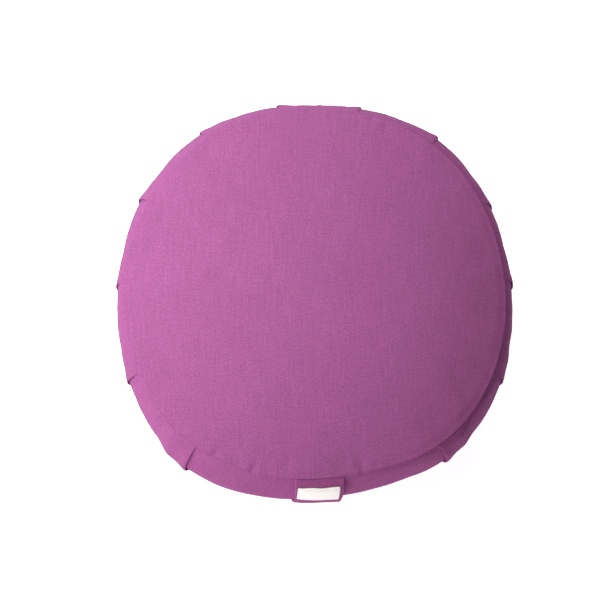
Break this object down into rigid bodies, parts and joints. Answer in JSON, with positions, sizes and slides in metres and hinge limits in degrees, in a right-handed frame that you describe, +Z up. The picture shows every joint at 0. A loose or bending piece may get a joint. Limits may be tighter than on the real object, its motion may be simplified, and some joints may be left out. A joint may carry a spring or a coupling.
{
  "type": "zafu meditation cushion",
  "caption": "Round, firmly filled floor cushion with a crowned top, a knife-pleated side band, a flat cloth strap handle lying on the band and a small bare label.",
  "frame": {"origin": "on the resting surface, under the middle of the cushion's box", "axes": "+Z up through the crown; -Y towards the side with the handle; +X to the right seen from that side"},
  "size_m": [0.3258, 0.3273, 0.15],
  "materials": {
    "canvas": "plain-woven magenta-purple cotton canvas, matte",
    "strap": "the same cotton canvas, folded into a strap, matte",
    "tape": "white woven tape, smooth and faintly satin, bare"
  },
  "bodies": {
    "root": {"cushion": "canvas", "handle": "strap", "label": "tape"}
  },
  "joints": []
}
